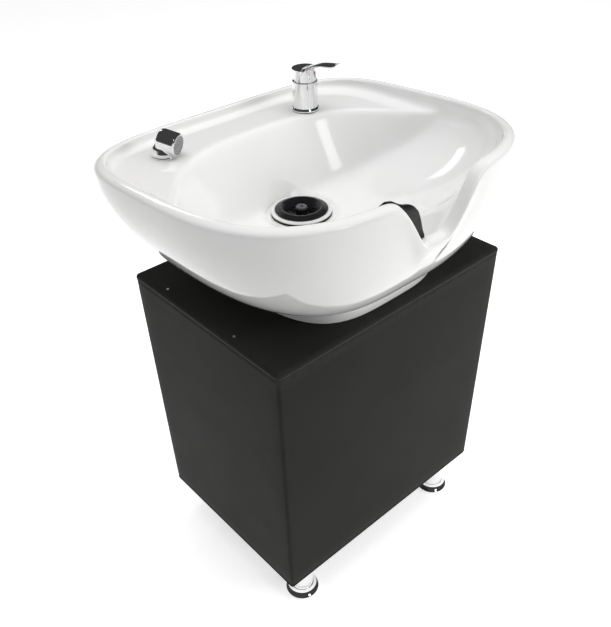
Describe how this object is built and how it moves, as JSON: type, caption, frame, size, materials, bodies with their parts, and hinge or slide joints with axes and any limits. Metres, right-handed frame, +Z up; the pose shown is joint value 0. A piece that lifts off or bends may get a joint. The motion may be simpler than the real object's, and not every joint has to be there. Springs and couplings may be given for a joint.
{
  "type": "salon backwash unit",
  "caption": "Free-standing hair washing basin with a neck notch, lever mixer and pull-out spray on a covered pedestal with feet.",
  "frame": {"origin": "on the floor, under the middle of the basin's outline", "axes": "+Z up, -Y towards the client and the neck notch, +Y towards the mixer and the spray, +X towards the mixer's side"},
  "size_m": [0.6302, 0.5565, 0.9364],
  "materials": {
    "glaze": "white vitreous glaze, high gloss",
    "leatherette": "black grained leatherette, satin",
    "board": "raw plywood",
    "chrome": "mirror chrome plate",
    "zinc_screw": "zinc plated steel",
    "black_rubber": "soft black rubber",
    "black_plastic": "black moulded plastic, semi gloss",
    "white_plastic": "white moulded plastic",
    "grey_plastic": "grey moulded plastic",
    "brass": "machined brass",
    "steel_braid": "woven steel braid",
    "red_plastic": "red enamel dot"
  },
  "bodies": {
    "root": {"back_panel": "board", "basin_bowl": "glaze", "bottom_panel": "board", "cartridge": "grey_plastic", "cartridge_nut": "brass", "corner_battens": "board", "cover_lid": "leatherette", "cover_tacks": "zinc_screw", "cover_wrap": "leatherette", "floor_glides": "black_plastic", "foot_base_back_left": "chrome", "foot_base_back_right": "chrome", "foot_base_front_left": "chrome", "foot_base_front_right": "chrome", "foot_plates": "chrome", "foot_screws": "zinc_screw", "foot_tube_back_left": "chrome", "foot_tube_back_right": "chrome", "foot_tube_front_left": "chrome", "foot_tube_front_right": "chrome", "front_panel": "board", "inlet_cold": "brass", "inlet_hot": "brass", "mixer_base_ring": "chrome", "mixer_body": "chrome", "mixer_gasket": "black_rubber", "mixer_nut": "brass", "mixer_shank": "brass", "mixer_washer": "black_rubber", "neck_rest": "black_rubber", "side_panel_left": "board", "side_panel_right": "board", "spray_gasket": "black_rubber", "spray_hose_loop": "steel_braid", "spray_nut": "brass", "spray_seat": "chrome", "spray_washer": "black_rubber", "supply_hose_cold": "steel_braid", "supply_hose_hot": "steel_braid", "top_panel": "board", "trap_bottle": "white_plastic", "trap_nut": "white_plastic", "trap_outlet": "white_plastic", "waste_flange": "white_plastic", "waste_gasket": "black_rubber", "waste_nut": "white_plastic", "waste_washer": "black_rubber"},
    "handle_carrier": {"handle_dome": "chrome", "handle_stem": "brass", "temperature_dot": "red_plastic"},
    "lever": {"mixer_lever": "chrome"},
    "strainer": {"strainer_basket": "black_plastic", "strainer_knob": "grey_plastic"},
    "spray": {"spray_head": "chrome", "spray_face": "grey_plastic", "spray_hose_tail": "steel_braid"}
  },
  "joints": [
    {"name": "mixer_turn", "type": "hinge", "parent": "root", "child": "handle_carrier", "pos_m": [0.136, 0.17075, 0.91205], "axis": [0, 0, 1], "range_deg": [-50, 50]},
    {"name": "mixer_lift", "type": "hinge", "parent": "handle_carrier", "child": "lever", "pos_m": [0.136, 0.17075, 0.91205], "axis": [-0.9598, -0.2807, 0], "range_deg": [0, 20]},
    {"name": "strainer_lift", "type": "slide", "parent": "root", "child": "strainer", "axis": [0, 0, 1], "range_m": [0, 0.09]},
    {"name": "spray_pull", "type": "slide", "parent": "root", "child": "spray", "axis": [0, 0, 1], "range_m": [0, 0.07]}
  ]
}
